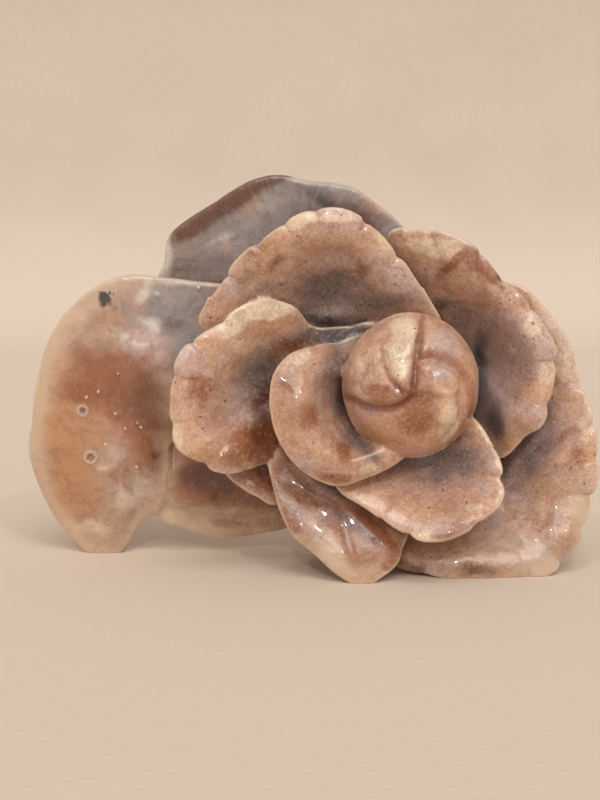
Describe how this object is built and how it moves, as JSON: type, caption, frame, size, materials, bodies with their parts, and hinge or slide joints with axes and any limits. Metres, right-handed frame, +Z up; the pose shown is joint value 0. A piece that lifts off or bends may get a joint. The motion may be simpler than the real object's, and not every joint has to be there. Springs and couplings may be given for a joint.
{
  "type": "carved stone flower",
  "caption": "Rose-like flower carved from one piece of pink and grey amethyst agate: cupped petals with notched rims round a closed bud, on broad thin leaves, standing on its lower edge",
  "frame": {"origin": "on the ground, under the centre of the bounding box", "axes": "+X along the flower's width towards its right as seen from the front, +Y from the flower's face to its back, +Z up"},
  "size_m": [0.0976, 0.0379, 0.0665],
  "materials": {
    "amethyst_agate": "polished, waxy, slightly translucent at the thin rims; banded peach, cream, rust and grey-mauve agate with fine black specks"
  },
  "bodies": {
    "root": {"amethyst_flower": "amethyst_agate"}
  },
  "joints": []
}
